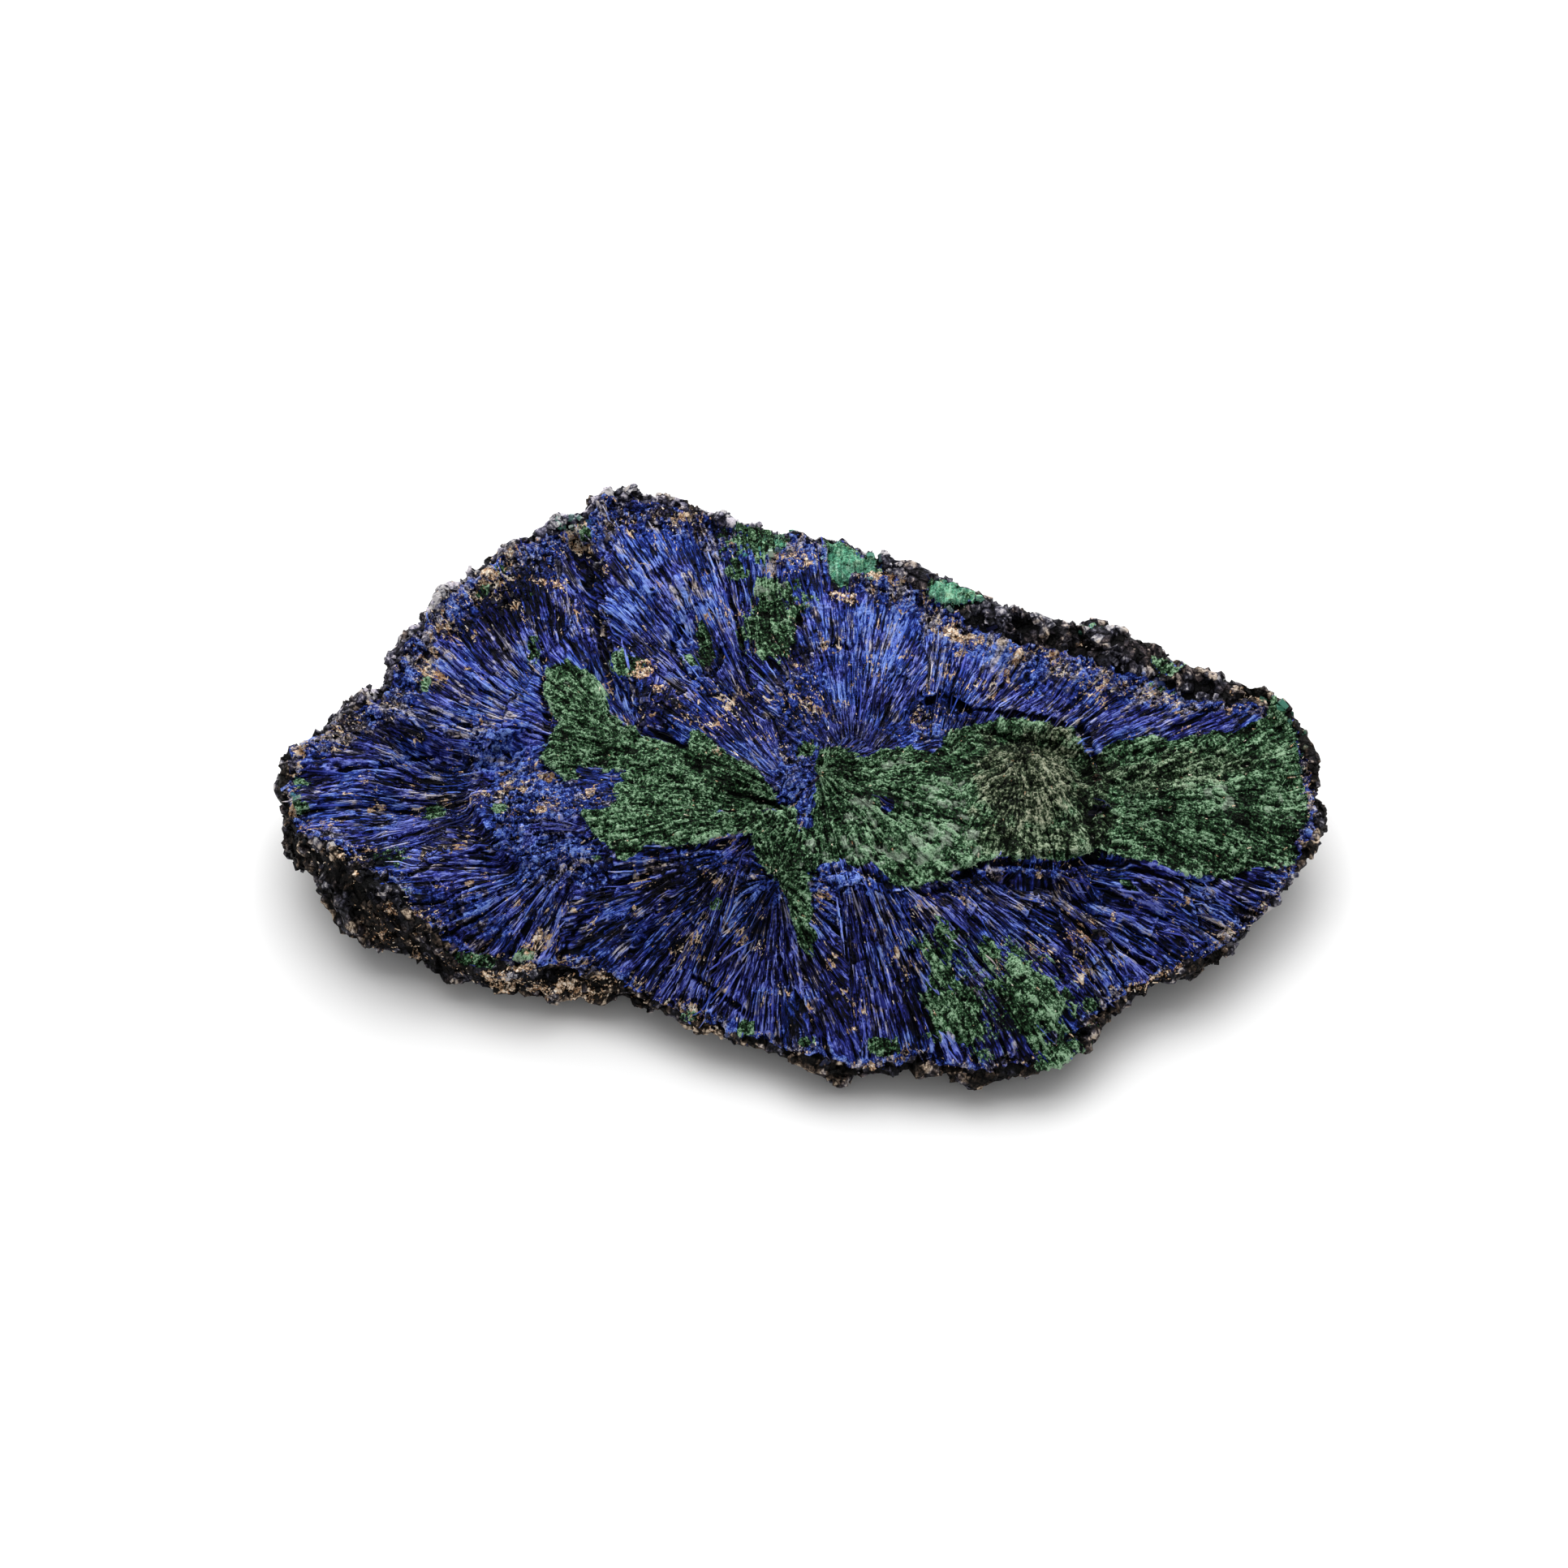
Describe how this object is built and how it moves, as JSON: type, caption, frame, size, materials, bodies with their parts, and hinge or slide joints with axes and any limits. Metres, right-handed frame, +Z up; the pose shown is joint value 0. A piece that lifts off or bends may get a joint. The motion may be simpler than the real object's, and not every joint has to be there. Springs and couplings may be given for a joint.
{
  "type": "azurite and malachite specimen",
  "caption": "Broad low slab of radiating azurite fibres split by a vein of malachite, with a dark blocky crust round its rim, resting on a flat underside.",
  "frame": {"origin": "middle of the bounding box's bottom, on the surface that the stone rests on", "axes": "+X along the stone, to the end with the wide green bulb; +Y from its low front edge to its high back edge; +Z up, out of the broken face"},
  "size_m": [0.1802, 0.1132, 0.0341],
  "materials": {
    "azurite": "satin",
    "malachite": "matte",
    "dark_crust": "matte",
    "clay": "matte"
  },
  "bodies": {
    "root": {"azurite_malachite_stone": "azurite"}
  },
  "joints": []
}
